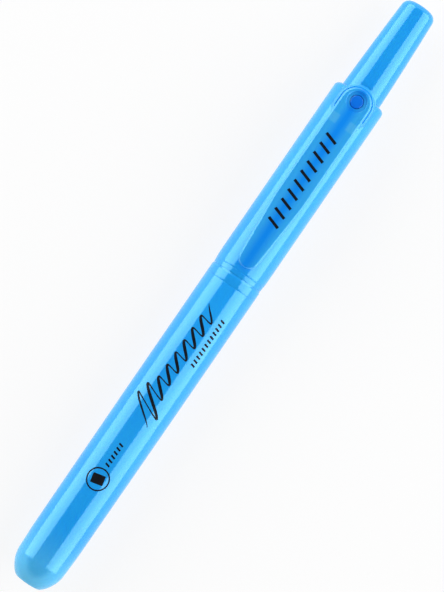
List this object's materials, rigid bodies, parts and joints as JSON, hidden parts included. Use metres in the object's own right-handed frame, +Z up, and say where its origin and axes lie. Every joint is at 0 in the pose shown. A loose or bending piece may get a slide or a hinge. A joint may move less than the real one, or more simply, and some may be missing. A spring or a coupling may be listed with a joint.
{
  "type": "retractable highlighter",
  "caption": "Click-action chisel highlighter: round two-part barrel, raised clip, long tapered push button, spring-loaded ink unit and twin shutters that close behind the mouth.",
  "frame": {"origin": "on the surface the pen lies on, under the middle of its length", "axes": "+X along the pen from the nose to the push button, +Z up through the clip"},
  "size_m": [0.144, 0.0118, 0.0142],
  "materials": {
    "barrel_plastic": "glossy moulded azure plastic",
    "clip_plastic": "glossy moulded azure plastic",
    "button_plastic": "glossy moulded azure plastic",
    "white_plastic": "moulded acetal",
    "clear_plastic": "extruded natural polypropylene tube",
    "ink_fibre": "ink-soaked polyester fibre",
    "nib_felt": "sintered felt soaked with blue ink",
    "seal_rubber": "moulded elastomer",
    "spring_steel": "drawn spring wire",
    "pin_steel": "ground pin"
  },
  "bodies": {
    "barrel": {"front_barrel": "barrel_plastic", "rear_barrel": "barrel_plastic", "guide_sleeve": "white_plastic", "seal_tube": "white_plastic", "wiper_ring": "seal_rubber", "outer_ring": "seal_rubber", "return_spring": "spring_steel", "hinge_pin_lower": "pin_steel", "hinge_pin_upper": "pin_steel", "shutter_spring_lower": "spring_steel", "shutter_spring_upper": "spring_steel"},
    "clip": {"clip": "clip_plastic"},
    "knock": {"knock_button": "button_plastic", "plunger": "white_plastic"},
    "ink_unit": {"rotor": "white_plastic", "tail_plug": "white_plastic", "ink_tube": "clear_plastic", "ink_filler": "ink_fibre", "nib_holder": "white_plastic", "nib": "nib_felt"},
    "shutter_lower": {"shutter_lower": "white_plastic", "gasket_lower": "seal_rubber"},
    "shutter_upper": {"shutter_upper": "white_plastic", "gasket_upper": "seal_rubber"}
  },
  "joints": [
    {"name": "knock_slide", "type": "slide", "parent": "barrel", "child": "knock", "axis": [-1, 0, 0], "range_m": [0, 0.017], "stiffness_N_per_m": 250, "springref_m": -0.008},
    {"name": "ink_slide", "type": "slide", "parent": "barrel", "child": "ink_unit", "axis": [-1, 0, 0], "range_m": [0, 0.017], "deforming": ["return_spring"]},
    {"name": "shutter_lower_swing", "type": "hinge", "parent": "barrel", "child": "shutter_lower", "pos_m": [-0.06625, 0, 0.0027], "axis": [0, -1, 0], "range_deg": [0, 65], "deforming": ["shutter_spring_lower"]},
    {"name": "shutter_upper_swing", "type": "hinge", "parent": "barrel", "child": "shutter_upper", "pos_m": [-0.06625, 0, 0.0091], "axis": [0, 1, 0], "range_deg": [0, 65], "deforming": ["shutter_spring_upper"]},
    {"name": "clip_flex", "type": "hinge", "parent": "barrel", "child": "clip", "pos_m": [0.0502, 0, 0.0127], "axis": [0, 1, 0], "range_deg": [0, 3], "stiffness_Nm_per_rad": 1.8, "springref_deg": -0.57}
  ],
  "couplings": [
    {"joint": "ink_slide", "follows": "knock_slide", "ratio": 1},
    {"joint": "shutter_lower_swing", "follows": "knock_slide", "rad_per_m": 66.73},
    {"joint": "shutter_upper_swing", "follows": "knock_slide", "rad_per_m": 66.73}
  ]
}
